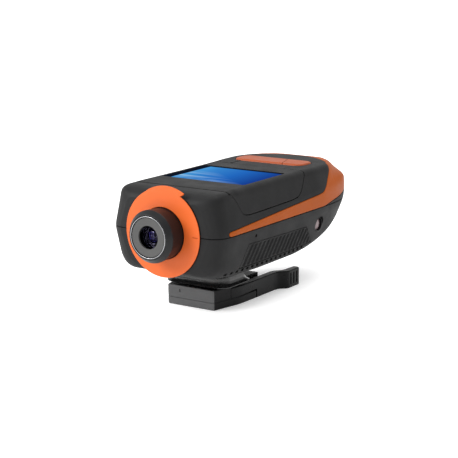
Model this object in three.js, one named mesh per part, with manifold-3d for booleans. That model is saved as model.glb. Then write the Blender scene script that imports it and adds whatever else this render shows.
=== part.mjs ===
// Bullet-style action camera on a snap-in buckle mount.
// Millimetres, +Z up. The origin is under the middle of the object, on the surface it stands on.
// The lens looks along -Y. Everything except the mount is built in the lens frame: its origin is the
// centre of the orange ring's front face, Y runs to the stern and Z up.

import * as THREE from 'three';
import { mergeVertices } from 'three/addons/utils/BufferGeometryUtils.js';
import Module from 'manifold-3d';

const wasm = await Module();
wasm.setup();

// ---- driving dimensions ----
const AXIS_HEIGHT = 30.2; // lens axis above the surface
const RING_FACE_Y = -44.8; // front face of the orange ring
const GAP = 0.3; // clearance between touching pieces
const WALL = 2.0; // housing wall
const WAIST_LOW = -1.0; // lower edge of the upright strip round the widest part

const RING = { radius: 15.7, bore: 9.3, flange: 0.8, hub: 13, depth: 4.5 };
// The lug is an arc of the ring's own radius about a centre up and to the right. It runs between two angles
// about that centre, and meets the ring between two angles about the lens axis.
const LUG = { x: 1.75, z: 1.1, from: 61, to: 120, ringFrom: 60.7, ringTo: 116 };
const BARREL = {
  cap: 9.3, root: 9.0, nose: 7.9, lip: 7.7, bore: 7.4, groove: 8.3, flange: 11.8, front: -8.2, shoulder: -6.4,
  flangeFront: 4.9, flangeBack: 6.4, back: 11.5,
};
const RIM = { inner: 7.15, outer: 7.4, front: -8.3, back: -6.9 };
const FACE = { outer: 6.85, hole: 4.1, front: -8.1, back: -7.3 };
const WINDOW = { half: 17.8, front: 24.2, back: 51.6, top: 14.6, thick: 0.7 };
const TRAY = { half: 18, front: 14.5, back: 58, bottom: -7.5, top: 5.8, wall: 1.2 };
const BUTTONS = {
  left: -16.2, right: 15.0, splitFront: 7.2, splitBack: 2.6, front: 67.6, back: 77.2, top: 15.3, bottom: 11.2,
};
const LATCH = { half: 12, front: 60.2, back: 67.2, bottom: 12.3, top: 14.75 };
const BAND_DEPTH = 1.0;
const GRIP_DEPTH = 0.9;
const IR_EYE = { y: 68.3, z: -6.7, radius: 2.9 };
const MIC = { y: 22.9, z: -2.4, hole: 0.6 };
const PAN = { y: 28.2, screw: 3.0, clear: 3.4 }; // vertical axis of the tripod screw
const SLAB = { front: 16, back: 39.5, noseHalf: 11.0, half: 13, step: 2.9, top: 7.4 };
const ARM = { inner: 10, outer: 13, root: 24.5, jog: 52.5, tabOuter: 16, tip: 65, top: 6.8 };
const CORE = { half: 8.2, back: 48 };
// The pedestal's head stands out by the rim all round.
const PEDESTAL = { half: 12.3, front: 19, back: 35.8, rim: 1.6, flare: 11.2, top: 13.3 };
const SCREW_SPOTS = [[-14.5, 10.5], [14.5, 10.5], [-11, 63.5], [11, 63.5]];

// Cross-sections of the housing from nose to stern. Each has the station along Y, the half width of the
// upright strip and its upper edge, the top's half width and height, the bottom's half width and height, and
// how round the bottom corner is.
const STATIONS = [
  { y: 0.5, half: 18.6, waist: 1.0, topHalf: 15.0, top: 11.2, bottomHalf: 14.2, bottom: -12.6, round: 5.0 },
  { y: 1.2, half: 20.6, waist: 1.0, topHalf: 17.2, top: 12.5, bottomHalf: 16.8, bottom: -13.6, round: 5.4 },
  { y: 2.6, half: 22.5, waist: 1.0, topHalf: 19.3, top: 13.6, bottomHalf: 19.0, bottom: -14.5, round: 5.8 },
  { y: 4.6, half: 23.4, waist: 1.0, topHalf: 20.6, top: 14.3, bottomHalf: 20.3, bottom: -15.0, round: 5.8 },
  { y: 7, half: 23.8, waist: 1.1, topHalf: 21.0, top: 14.6, bottomHalf: 20.8, bottom: -15.4, round: 5.0 },
  { y: 11, half: 24.0, waist: 1.3, topHalf: 21.0, top: 14.7, bottomHalf: 21.0, bottom: -15.6, round: 3.8 },
  { y: 17, half: 24.0, waist: 1.8, topHalf: 20.9, top: 14.8, bottomHalf: 21.2, bottom: -15.6, round: 2.8 },
  { y: 30, half: 24.0, waist: 3.0, topHalf: 20.8, top: 14.8, bottomHalf: 21.5, bottom: -15.6, round: 1.8 },
  { y: 50, half: 24.0, waist: 4.5, topHalf: 20.8, top: 14.8, bottomHalf: 21.4, bottom: -15.6, round: 1.8 },
  { y: 60, half: 24.0, waist: 5.2, topHalf: 21.1, top: 14.8, bottomHalf: 21.0, bottom: -15.2, round: 2.0 },
  { y: 68, half: 24.0, waist: 5.7, topHalf: 21.6, top: 14.8, bottomHalf: 20.4, bottom: -14.6, round: 2.6 },
  { y: 75, half: 23.7, waist: 6.2, topHalf: 21.5, top: 14.8, bottomHalf: 19.8, bottom: -13.7, round: 3.4 },
  { y: 80, half: 23.3, waist: 7.0, topHalf: 20.0, top: 14.8, bottomHalf: 19.4, bottom: -12.5, round: 4.0 },
  { y: 84, half: 22.7, waist: 7.8, topHalf: 17.6, top: 14.8, bottomHalf: 18.8, bottom: -11.0, round: 4.6 },
  { y: 88, half: 21.7, waist: 8.4, topHalf: 14.4, top: 14.7, bottomHalf: 17.6, bottom: -8.4, round: 4.8 },
  { y: 91.8, half: 19.9, waist: 8.6, topHalf: 10.4, top: 14.4, bottomHalf: 15.6, bottom: -4.6, round: 4.8 },
  { y: 94.9, half: 16.9, waist: 8.6, topHalf: 7.0, top: 13.0, bottomHalf: 12.6, bottom: -0.6, round: 3.8 },
  { y: 96.9, half: 12.0, waist: 8.0, topHalf: 4.6, top: 10.8, bottomHalf: 8.2, bottom: 2.8, round: 2.4 },
  { y: 97.9, half: 6.0, waist: 7.2, topHalf: 3.0, top: 8.6, bottomHalf: 4.2, bottom: 5.2, round: 1.0 },
];
const ROUND = { waist: 1.6, top: 2.4 };
const CORNER_STEPS = 3;
const THINNEST_CORE = 3; // an inner skin stops where the housing gets thinner than this

// Seam of the display module, seen from the side (Y, Z): down each flank in an S, back along it and up.
const MODULE_OUTLINE = [
  [11.2, 22], [11.2, 13.8], [12.8, 11.9], [14.2, 9.8], [15.4, 7.4], [17.4, 6.0], [21, 5.7],
  [46, 6.2], [52.2, 6.8], [55.3, 8.7], [58.4, 12.8], [59.8, 15.2], [59.8, 22],
];
// Orange band: a thin wedge along each flank, then a rim round the stern.
const BAND_STRIP = [
  [6.4, 0.4], [7.0, 0.0], [72, 0.0], [72, 5.3], [68.6, 5.2], [42, 3.8], [7.2, 1.7], [6.4, 1.2],
];
const BAND_REAR = [
  [66, 0.0], [71.6, 0.3], [78, 1.5], [86, 2.6], [93, 4.3], [100, 5.6], [100, 22], [66, 22],
];
const DECK_EDGE = [
  [30, 60], [30, 67.4], [24.2, 68.8], [23, 73.6], [20.8, 78.2], [17.2, 82], [11.8, 86], [6, 89.4],
];
// Grip patch low on each flank.
const GRIP_OUTLINE = [[15.4, -12.1], [19.2, -4.7], [57.9, -5.8], [59.6, -6.5], [64.2, -11.6], [62.8, -12.1]];

// ---- finishes ----
const paint = (color, roughness, metalness = 0) =>
  new THREE.MeshStandardMaterial({ color, roughness, metalness });
const charcoal = () => paint(0x333333, 0.75);
const brightOrange = () => paint(0xee6c38, 0.45);
const deepOrange = () => paint(0xba5d2a, 0.5);
const glossBlack = () => paint(0x161616, 0.25);
const matteBlack = () => paint(0x202020, 0.6);
const rubber = () => paint(0x262626, 0.9);
const glass = () => paint(0x15151f, 0.05);
const steel = () => paint(0xa8a8aa, 0.3, 1);
const brass = () => paint(0xc2a04e, 0.35, 1);
const board = () => paint(0x14502e, 0.6);

// ---- solids ----
const X = new THREE.Vector3(1, 0, 0);
const Y = new THREE.Vector3(0, 1, 0);
const Z = new THREE.Vector3(0, 0, 1);
const alongX = new THREE.Matrix4().makeBasis(Y, Z, X); // outline (y, z), pushed along +X
const alongY = new THREE.Matrix4().makeBasis(X, Z, Y.clone().negate()); // outline (x, z), pushed along -Y

// A closed geometry with shared corners becomes a solid that can be cut and joined.
function solid(geometry) {
  const bare = geometry.clone();
  bare.deleteAttribute('normal');
  bare.deleteAttribute('uv');
  const merged = mergeVertices(bare, 1e-4);
  const corners = merged.index.array;
  const kept = [];
  for (let i = 0; i < corners.length; i += 3) {
    const [a, b, c] = [corners[i], corners[i + 1], corners[i + 2]];
    if (a !== b && b !== c && c !== a) kept.push(a, b, c);
  }
  return new wasm.Manifold(new wasm.Mesh({
    numProp: 3,
    vertProperties: new Float32Array(merged.attributes.position.array),
    triVerts: new Uint32Array(kept),
  }));
}

function surface(shape) {
  const mesh = shape.getMesh();
  const geometry = new THREE.BufferGeometry();
  geometry.setAttribute('position', new THREE.BufferAttribute(new Float32Array(mesh.vertProperties), 3));
  geometry.setIndex(new THREE.BufferAttribute(new Uint32Array(mesh.triVerts), 1));
  geometry.computeVertexNormals();
  return geometry;
}

const join = (...shapes) => shapes.reduce((a, b) => a.add(b));
const cut = (shape, ...tools) => tools.reduce((a, b) => a.subtract(b), shape);

function box(x, y, z) {
  const g = new THREE.BoxGeometry(x[1] - x[0], y[1] - y[0], z[1] - z[0]);
  g.translate((x[0] + x[1]) / 2, (y[0] + y[1]) / 2, (z[0] + z[1]) / 2);
  return solid(g);
}

const outline = (points) => new THREE.Shape(points.map(([a, b]) => new THREE.Vector2(a, b)));

function extrude(shape, depth, bevel = 0) {
  const options = { depth: depth - 2 * bevel, bevelEnabled: bevel > 0, curveSegments: 6 };
  if (bevel > 0) {
    const rounding = { bevelThickness: bevel, bevelSize: bevel, bevelOffset: -bevel, bevelSegments: 1 };
    Object.assign(options, rounding);
  }
  const g = new THREE.ExtrudeGeometry(shape, options);
  g.translate(0, 0, bevel);
  return g;
}

const prismX = (points, x0, x1) =>
  solid(extrude(outline(points), x1 - x0).applyMatrix4(alongX).translate(x0, 0, 0));
const prismZ = (shape, z0, z1, bevel = 0) => solid(extrude(shape, z1 - z0, bevel).translate(0, 0, z0));
const prismY = (shape, y0, y1, bevel = 0) =>
  solid(extrude(shape, y1 - y0, bevel).applyMatrix4(alongY).translate(0, y1, 0));

// A solid turned about Y from a closed profile of (radius, y) points.
function turned(profile, segments = 32) {
  const points = profile.map(([r, y]) => new THREE.Vector2(r, y));
  if (THREE.ShapeUtils.area(points) < 0) points.reverse();
  points.push(points[0].clone());
  return new THREE.LatheGeometry(points, segments);
}

const turnedY = (profile, segments) => solid(turned(profile, segments));
const turnedZ = (profile, x, y, segments) =>
  solid(turned(profile, segments).rotateX(Math.PI / 2).translate(x, y, 0));
const disc = (r, a, b) => [[0, a], [r, a], [r, b], [0, b]];
const tube = (inner, outer, a, b) => [[inner, a], [outer, a], [outer, b], [inner, b]];

// The post of radius r along +X at (y, z) on a flank.
const crossPin = (r, x0, x1, y, z, segments = 16) =>
  solid(turned(disc(r, x0, x1), segments).rotateZ(-Math.PI / 2).translate(0, y, z));

function roundedRectangle(x0, x1, y0, y1, r) {
  const s = new THREE.Shape();
  s.moveTo(x0 + r, y0);
  s.lineTo(x1 - r, y0);
  s.absarc(x1 - r, y0 + r, r, -Math.PI / 2, 0);
  s.lineTo(x1, y1 - r);
  s.absarc(x1 - r, y1 - r, r, 0, Math.PI / 2);
  s.lineTo(x0 + r, y1);
  s.absarc(x0 + r, y1 - r, r, Math.PI / 2, Math.PI);
  s.lineTo(x0, y0 + r);
  s.absarc(x0 + r, y0 + r, r, Math.PI, Math.PI * 1.5);
  return s;
}

// Pushes every edge of an outline outwards by a margin (inwards if negative).
function grow(points, margin) {
  const size = points.length;
  const loop = points.map(([a, b]) => new THREE.Vector2(a, b));
  const side = Math.sign(THREE.ShapeUtils.area(loop));
  const normal = (a, b) => new THREE.Vector2(b.y - a.y, a.x - b.x).normalize().multiplyScalar(side);
  return loop.map((p, i) => {
    const before = normal(loop[(i + size - 1) % size], p);
    const after = normal(p, loop[(i + 1) % size]);
    const mitre = before.clone().add(after);
    const step = (2 * margin) / mitre.lengthSq();
    return [p.x + mitre.x * step, p.y + mitre.y * step];
  });
}

// ---- the housing's shape ----
// Right half of one cross-section as (x, z), from the bottom centre to the top centre, corners rounded.
function halfSection(s, inset) {
  const low = Math.max(WAIST_LOW, (s.bottom + s.waist) / 2);
  const path = [
    [0, s.bottom + inset],
    [s.bottomHalf - inset, s.bottom + inset, s.round],
    [s.half - inset, Math.min(low, s.waist - 0.4), ROUND.waist],
    [s.half - inset, s.waist, ROUND.waist],
    [s.topHalf - inset, s.top - inset, ROUND.top],
    [0, s.top - inset],
  ].map(([x, z, r]) => ({ at: new THREE.Vector2(x, z), r }));
  const points = [path[0].at];
  for (let i = 1; i < path.length - 1; i += 1) {
    const { at, r } = path[i];
    const reach = (other) => {
      const way = other.clone().sub(at);
      return at.clone().addScaledVector(way.clone().normalize(), Math.min(r, 0.45 * way.length()));
    };
    const arc = new THREE.QuadraticBezierCurve(reach(path[i - 1].at), at, reach(path[i + 1].at));
    points.push(...arc.getPoints(CORNER_STEPS - 1));
  }
  points.push(path.at(-1).at);
  return points;
}

// The housing's outer skin, moved inwards by an inset.
function hull(inset = 0) {
  const used = STATIONS.filter((s) => s.top - s.bottom > 2 * inset + (inset > 0 ? THINNEST_CORE : 0));
  const [first, last] = [STATIONS[0].y, STATIONS.at(-1).y];
  const shrink = (last - first - 2 * inset) / (last - first);
  const rings = used.map((s) => {
    const right = halfSection(s, inset);
    const left = right.slice(1, -1).reverse().map((p) => new THREE.Vector2(-p.x, p.y));
    const y = first + inset + (s.y - first) * shrink;
    return [...right, ...left].map((p) => [p.x, y, p.y]);
  });
  const around = rings[0].length;
  const index = [];
  for (let i = 0; i < rings.length - 1; i += 1) {
    for (let j = 0; j < around; j += 1) {
      const a = i * around + j;
      const d = i * around + ((j + 1) % around);
      index.push(a, a + around, d + around, a, d + around, d);
    }
  }
  const stern = (rings.length - 1) * around;
  for (let j = 1; j < around - 1; j += 1) {
    index.push(0, j, j + 1);
    index.push(stern, stern + j + 1, stern + j);
  }
  const g = new THREE.BufferGeometry();
  g.setAttribute('position', new THREE.Float32BufferAttribute(rings.flat(2), 3));
  g.setIndex(index);
  return solid(g);
}

const BEYOND = 40; // past the housing's flanks, for cutting tools
const moduleRegion = (margin) => prismX(grow(MODULE_OUTLINE, margin), -BEYOND, BEYOND);

function bandRegion(margin) {
  const mirrored = DECK_EDGE.map(([x, y]) => [-x, y]).reverse();
  const deck = prismZ(outline(grow([...DECK_EDGE, ...mirrored], -margin)), -20, BEYOND);
  const rim = cut(prismX(grow(BAND_REAR, margin), -BEYOND, BEYOND), deck);
  return join(prismX(grow(BAND_STRIP, margin), -BEYOND, BEYOND), rim);
}

// A piece set into the housing's skin over a region, and the pocket for it.
const inlay = (region, depth) => skin.intersect(region(0)).subtract(hull(depth));
const pocket = (region, depth) => region(GAP).subtract(hull(depth + GAP));
const gripRegion = (margin) => prismX(grow(GRIP_OUTLINE, margin), -BEYOND, BEYOND);
const sideOf = (shape, sign) =>
  shape.intersect(box(sign > 0 ? [0, BEYOND] : [-BEYOND, 0], [-20, 120], [-30, 30]));

const skin = hull();
const shell = skin.subtract(hull(WALL));
const buttonPlan = (margin) => roundedRectangle(
  BUTTONS.left - margin, BUTTONS.right + margin, BUTTONS.front - margin, BUTTONS.back + margin, 3.4,
);
const ringSeat = join(
  turnedY(disc(RING.radius + GAP, -2, RING.flange + GAP), 40),
  turnedY(disc(RING.hub + GAP, -2, RING.depth + GAP), 32),
  turnedY(disc(BARREL.flange + 0.4, -2, BARREL.flangeBack + 0.4), 32),
);
const lugSeat = box([-9, 9.8], [-2, RING.flange + GAP], [8, 20]);

// ---- camera pieces ----
const camera = new THREE.Group();
camera.position.set(0, RING_FACE_Y, AXIS_HEIGHT);
const mount = new THREE.Group();
mount.position.set(0, RING_FACE_Y, 0);

function piece(parent, name, shape, material) {
  const mesh = new THREE.Mesh(surface(shape), material);
  mesh.name = name;
  parent.add(mesh);
}

function housing() {
  const upperHalf = shell.intersect(box([-BEYOND, BEYOND], [-20, 120], [GAP / 2, BEYOND]));
  const upper = cut(
    upperHalf, ringSeat, lugSeat, moduleRegion(GAP), pocket(bandRegion, BAND_DEPTH),
    prismZ(buttonPlan(GAP), 5, 20),
    box([-LATCH.half - GAP, LATCH.half + GAP], [58, BUTTONS.front], [5, 20]),
  );
  const lowerHalf = shell.intersect(box([-BEYOND, BEYOND], [-20, 120], [-BEYOND, -GAP / 2]));
  const floor = (x, y) => Math.max(0, (y - 61) * 0.13) - 14.2;
  const bosses = SCREW_SPOTS.map(([x, y]) => turnedZ(disc(2.8, floor(x, y), -5.5), x, y, 12));
  const boss = turnedZ(disc(7, -14.2, -8.6), 0, PAN.y, 24);
  const screwHoles = SCREW_SPOTS.flatMap(([x, y]) => [
    turnedZ(disc(1.3, -20, 0), x, y, 12),
    turnedZ(disc(2.4, -20, -12.8), x, y, 16),
  ]);
  const lower = cut(
    join(lowerHalf, boss, ...bosses), ringSeat,
    pocket(bandRegion, BAND_DEPTH), pocket(gripRegion, GRIP_DEPTH),
    turnedZ(disc(4.2 + GAP, -20, 0), 0, PAN.y, 24),
    crossPin(IR_EYE.radius + GAP, 10, 30, IR_EYE.y, IR_EYE.z), crossPin(MIC.hole, 10, 30, MIC.y, MIC.z, 8),
    ...screwHoles,
  );
  piece(camera, 'upper_shell', upper, charcoal());
  piece(camera, 'lower_shell', lower, charcoal());
  piece(camera, 'side_band', inlay(bandRegion, BAND_DEPTH), deepOrange());
  piece(camera, 'grip_right', sideOf(inlay(gripRegion, GRIP_DEPTH), 1), rubber());
  piece(camera, 'grip_left', sideOf(inlay(gripRegion, GRIP_DEPTH), -1), rubber());
  SCREW_SPOTS.forEach(([x, y], i) => {
    const profile = [[0, -14.3], [2, -14.3], [2, -13.1], [0.95, -13.1], [0.95, -6.2], [0, -6.2]];
    piece(camera, `case_screw_${i + 1}`, turnedZ(profile, x, y, 12), steel());
  });
}

function frontRing() {
  const angles = [LUG.from, LUG.to, LUG.ringFrom, LUG.ringTo];
  const [from, to, ringFrom, ringTo] = angles.map(THREE.MathUtils.degToRad);
  const plan = new THREE.Shape();
  plan.absarc(LUG.x, LUG.z, RING.radius, from, to);
  plan.absarc(0, 0, RING.radius, ringTo, ringFrom + 2 * Math.PI);
  plan.closePath();
  const bore = new THREE.Path();
  bore.absarc(0, 0, RING.bore, 0, 2 * Math.PI, true);
  plan.holes.push(bore);
  const g = new THREE.ExtrudeGeometry(plan, { depth: RING.flange, bevelEnabled: false, curveSegments: 30 });
  const flange = solid(g.applyMatrix4(alongY).translate(0, RING.flange, 0));
  const hub = turnedY(tube(RING.bore, RING.hub, 0.4, RING.depth), 30);
  piece(camera, 'front_ring', join(flange, hub), brightOrange());
}

function lens() {
  const b = BARREL;
  const barrel = [
    [b.nose, b.front], [b.cap, b.shoulder], [b.root, 0], [b.root, 1.4], [b.groove, 1.4], [b.groove, 3.2],
    [b.root, 3.2], [b.root, b.flangeFront], [b.flange, b.flangeFront], [b.flange, b.flangeBack],
    [10, b.flangeBack], [10, b.back], [b.bore, b.back], [b.bore, b.shoulder], [b.lip, b.shoulder],
    [b.lip, b.front],
  ];
  piece(camera, 'lens_barrel', turnedY(barrel, 36), matteBlack());
  piece(camera, 'lens_rim', turnedY(tube(RIM.inner, RIM.outer, RIM.front, RIM.back), 40), steel());
  const face = turnedY(tube(FACE.hole, FACE.outer, FACE.front, FACE.back), 36);
  piece(camera, 'lens_face_ring', face, paint(0x6e6e6e, 0.6));
  piece(camera, 'cover_glass', turnedY(disc(6.85, -7.0, -6.4), 28), glass());
  piece(camera, 'lens_cell', turnedY(tube(4.6, 7.0, -6.1, 8.4), 24), matteBlack());
  const dome = [[0, -5.8], [2.2, -5.5], [4.3, -4.3], [4.3, -2.7], [0, -2.7]];
  piece(camera, 'front_element', turnedY(dome, 24), glass());
  piece(camera, 'rear_element', turnedY([[0, 3], [4.3, 3.8], [4.3, 5], [0, 6]], 24), glass());
  piece(camera, 'ir_cut_filter', turnedY(disc(6.8, 8.8, 9.5), 24), glass());
  piece(camera, 'image_sensor', box([-3.6, 3.6], [10.4, 11.4], [-3, 3]), paint(0x2a3038, 0.3));
  piece(camera, 'sensor_board', turnedY(disc(9.6, 11.8, 13), 24), board());
  const seal = new THREE.TorusGeometry(8.75, 0.35, 6, 24).rotateX(Math.PI / 2).translate(0, 2.3, 0);
  piece(camera, 'barrel_seal', solid(seal), rubber());
}

function displayModule() {
  const w = WINDOW;
  const opening = box([-w.half - GAP, w.half + GAP], [w.front - GAP, w.back + GAP], [8, 20]);
  const cover = cut(skin.intersect(moduleRegion(0)).subtract(hull(WALL)), opening);
  piece(camera, 'display_cover', cover, charcoal());
  const pane = box([-w.half, w.half], [w.front, w.back], [w.top - w.thick, w.top]);
  piece(camera, 'display_window', pane, glass());
  piece(camera, 'lcd_panel', box([-17.2, 17.2], [24.8, 51], [12.3, 13.6]), paint(0x2a6fc4, 0.2));
  piece(camera, 'display_board', box([-16.6, 16.6], [17, 56], [10.4, 11.6]), board());
  const base = join(
    box([-19, 19], [15.6, 57], [6.4, 7.8]),
    box([-16, 16], [18, 20], [7.8, 9.1]),
    box([-16, 16], [53, 55], [7.8, 9.1]),
  );
  piece(camera, 'module_base', base, matteBlack());
  piece(camera, 'contact_pad', box([5.5, 15], [36.5, 40.5], [5.3, 6.1]), brass());
}

function bay() {
  const t = TRAY;
  const tray = cut(
    box([-t.half, t.half], [t.front, t.back], [t.bottom, t.top]),
    box([-t.half + t.wall, t.half - t.wall], [t.front + t.wall, t.back - t.wall], [t.bottom + t.wall, 20]),
  );
  piece(camera, 'bay_tray', tray, matteBlack());
  const cell = prismZ(roundedRectangle(-16.4, 2.8, 16.2, 56.3, 1.5), -6, 4.6);
  piece(camera, 'battery', cell, paint(0x3c4046, 0.5));
  piece(camera, 'card_slot', box([4.2, 16.2], [18.2, 32.4], [-6, -4.6]), steel());
  piece(camera, 'memory_card', box([4.7, 15.7], [17.4, 32.4], [-4.3, -3.5]), matteBlack());
  const usb = cut(box([5.6, 14.6], [47, 56.4], [-6, -2.2]), box([6.5, 13.7], [46, 53], [-5.2, -3]));
  piece(camera, 'usb_port', usb, steel());
  piece(camera, 'contact_block', box([5.5, 15], [36.5, 40.5], [-6, 5]), matteBlack());
}

function electronics() {
  piece(camera, 'main_board', box([-14, 14], [60, 84], [-2, -0.8]), board());
  piece(camera, 'processor', box([-7, 7], [66, 78], [-0.5, 0.9]), matteBlack());
  piece(camera, 'speaker', turnedZ(disc(5.5, -8.4, -5.2), 0, 72, 16), matteBlack());
  piece(camera, 'button_board', box([-16, 16], [70.6, 78.6], [8, 9.2]), board());
  piece(camera, 'record_switch', box([-9.5, -4.5], [72.1, 77.1], [9.5, 10.4]), steel());
  piece(camera, 'power_switch', box([8.4, 13.4], [72.1, 77.1], [9.5, 10.4]), steel());
  piece(camera, 'microphone', crossPin(1.4, 18.5, 20.6, MIC.y, MIC.z), matteBlack());
  const eyePin = (r, x0, x1) => crossPin(r, x0, x1, IR_EYE.y, IR_EYE.z);
  piece(camera, 'ir_bezel', cut(eyePin(IR_EYE.radius, 19.8, 22.2), eyePin(2.7, 10, 30)), matteBlack());
  piece(camera, 'ir_window', eyePin(2.4, 20.4, 21.8), paint(0x8a7276, 0.2));
  const insert = turnedZ(tube(3.3, 4.2, -15.1, -9), 0, PAN.y, 24);
  piece(camera, 'tripod_insert', insert, brass());
}

function controls() {
  const b = BUTTONS;
  const bar = prismZ(buttonPlan(0), b.bottom, b.top, 0.5);
  // One side of the slanting split; sign -1 is the left key.
  const keyHalf = (sign) => {
    const [front, back] = [b.splitFront, b.splitBack].map((x) => x + sign * GAP / 2);
    const [near, far, side] = [b.front - 1, b.back + 1, sign * BEYOND];
    return prismZ(outline([[front, near], [side, near], [side, far], [back, far]]), 0, 20);
  };
  piece(camera, 'record_button', bar.intersect(keyHalf(-1)), deepOrange());
  piece(camera, 'power_button', bar.intersect(keyHalf(1)), deepOrange());
  const l = LATCH;
  const tongue = prismZ(roundedRectangle(-l.half, l.half, l.front, l.back, 0.8), l.bottom, l.top);
  piece(camera, 'module_latch', tongue, charcoal());
}

// ---- mount pieces, heights measured from the surface ----
function buckle() {
  const s = SLAB;
  const plan = new THREE.Shape();
  plan.moveTo(-s.noseHalf, s.front);
  plan.lineTo(s.noseHalf, s.front);
  plan.quadraticCurveTo(s.half - 0.2, s.front + 5, s.half, ARM.root - GAP);
  plan.lineTo(s.half, s.back);
  plan.lineTo(-s.half, s.back);
  plan.lineTo(-s.half, ARM.root - GAP);
  plan.quadraticCurveTo(-s.half + 0.2, s.front + 5, -s.noseHalf, s.front);
  const slab = prismZ(plan, 0, s.top);
  const shoulder = (sign) => {
    const [a, b] = [sign * CORE.half, sign * BEYOND].sort((p, q) => p - q);
    return box([a, b], [ARM.root - GAP, 60], [s.step, 20]);
  };
  const core = box([-CORE.half, CORE.half], [30, CORE.back], [0, s.top]);
  const block = cut(
    join(cut(slab, shoulder(1), shoulder(-1)), core),
    turnedZ(disc(6.2, -1, 4.6), 0, PAN.y, 24), turnedZ(disc(PAN.clear, -1, 20), 0, PAN.y, 24),
  );
  piece(mount, 'mount_block', block, glossBlack());
  [['release_arm_right', 1], ['release_arm_left', -1]].forEach(([name, sign]) => {
    piece(mount, name, releaseArm(sign), glossBlack());
  });
  const p = PEDESTAL;
  const screwWay = turnedZ(disc(PAN.clear, 0, 30), 0, PAN.y, 24);
  const stem = prismZ(roundedRectangle(-p.half, p.half, p.front, p.back, 4), s.top + GAP, p.flare);
  const headPlan = roundedRectangle(-p.half - p.rim, p.half + p.rim, p.front - p.rim, p.back + p.rim, 5);
  const head = prismZ(headPlan, p.flare - 0.5, p.top, 0.6);
  const neck = cut(join(stem, head), screwWay);
  piece(mount, 'mount_pedestal', neck, glossBlack());
  const padPlan = roundedRectangle(1 - p.half, p.half - 1, p.front + 1, p.back - 1, 4);
  const padBase = p.top + GAP;
  const pad = cut(prismZ(padPlan, padBase, padBase + 0.6), turnedZ(disc(5, 0, 30), 0, PAN.y, 24));
  piece(mount, 'mount_pad', pad, rubber());
  const screw = [[0, 1], [5.8, 1], [5.8, 4.2], [PAN.screw, 4.2], [PAN.screw, 20.6], [0, 20.6]];
  const coinSlot = box([-4.5, 4.5], [PAN.y - 0.7, PAN.y + 0.7], [0, 2.2]);
  piece(mount, 'tripod_screw', cut(turnedZ(screw, 0, PAN.y, 24), coinSlot), steel());
}

// One flexing arm, from its root in the block to the finger tab with three grip grooves.
function releaseArm(sign) {
  const a = ARM;
  const plan = [
    [a.inner, a.root], [a.outer, a.root], [a.outer, a.jog], [13.5, 54], [15.5, 55], [a.tabOuter, 56],
    [a.tabOuter, a.tip - 0.8], [15.2, a.tip], [13.4, a.tip], [12.9, 63.3], [12.9, 57], [12.3, 55.7],
    [10.6, 54.6], [a.inner, 53.2],
  ];
  const blade = prismZ(outline(plan), 0, a.top);
  const overSlab = box([0, BEYOND], [0, SLAB.back + GAP], [-1, SLAB.step + GAP]);
  const grooves = [57.6, 59.8, 61.9].map(
    (y) => box([a.tabOuter - 0.6, 20], [y - 0.4, y + 0.4], [1.2, a.top + 1]),
  );
  const right = cut(blade, overSlab, ...grooves);
  return sign > 0 ? right : right.mirror([1, 0, 0]);
}

housing();
frontRing();
lens();
displayModule();
bay();
electronics();
controls();
buckle();

const actionCamera = new THREE.Group();
actionCamera.add(camera, mount);

export default actionCamera;
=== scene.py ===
"""Looks of the bullet-style action camera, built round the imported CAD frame.

Shapes are worked out in millimetres in the lens frame: its origin is the centre of the orange ring's
front face, Y runs to the stern and Z up. place() turns them into metres in the row frame.
"""

import math

import bmesh
import bpy
import numpy as np
from mathutils import Matrix, Vector
from mathutils.bvhtree import BVHTree


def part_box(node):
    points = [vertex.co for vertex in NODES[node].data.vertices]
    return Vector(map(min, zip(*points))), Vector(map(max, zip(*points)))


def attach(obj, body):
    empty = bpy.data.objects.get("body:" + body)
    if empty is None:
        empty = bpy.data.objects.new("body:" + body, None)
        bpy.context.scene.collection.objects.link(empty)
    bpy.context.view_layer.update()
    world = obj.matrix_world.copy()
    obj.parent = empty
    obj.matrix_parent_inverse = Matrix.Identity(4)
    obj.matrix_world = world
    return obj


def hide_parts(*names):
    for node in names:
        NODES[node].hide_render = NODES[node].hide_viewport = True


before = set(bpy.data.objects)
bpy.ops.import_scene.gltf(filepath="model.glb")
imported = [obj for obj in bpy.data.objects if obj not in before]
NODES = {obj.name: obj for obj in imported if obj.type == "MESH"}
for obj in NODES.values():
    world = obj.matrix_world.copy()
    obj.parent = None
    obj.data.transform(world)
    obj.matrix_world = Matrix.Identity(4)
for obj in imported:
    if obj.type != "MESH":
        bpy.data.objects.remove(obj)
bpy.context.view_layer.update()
MM = 0.001

ring_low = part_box("front_ring")[0]
barrel_low, barrel_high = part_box("lens_barrel")
ORIGIN = Vector((0, ring_low.y, (barrel_low.z + barrel_high.z) / 2))


def cad(node):
    """Lowest and highest corner of a CAD node, in millimetres in the lens frame."""
    low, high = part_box(node)
    return (low - ORIGIN) / MM, (high - ORIGIN) / MM


FLOOR = -ORIGIN.z / MM
RING_LOW, RING_HIGH = cad("front_ring")
RING_RADIUS = RING_HIGH.x

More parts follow.
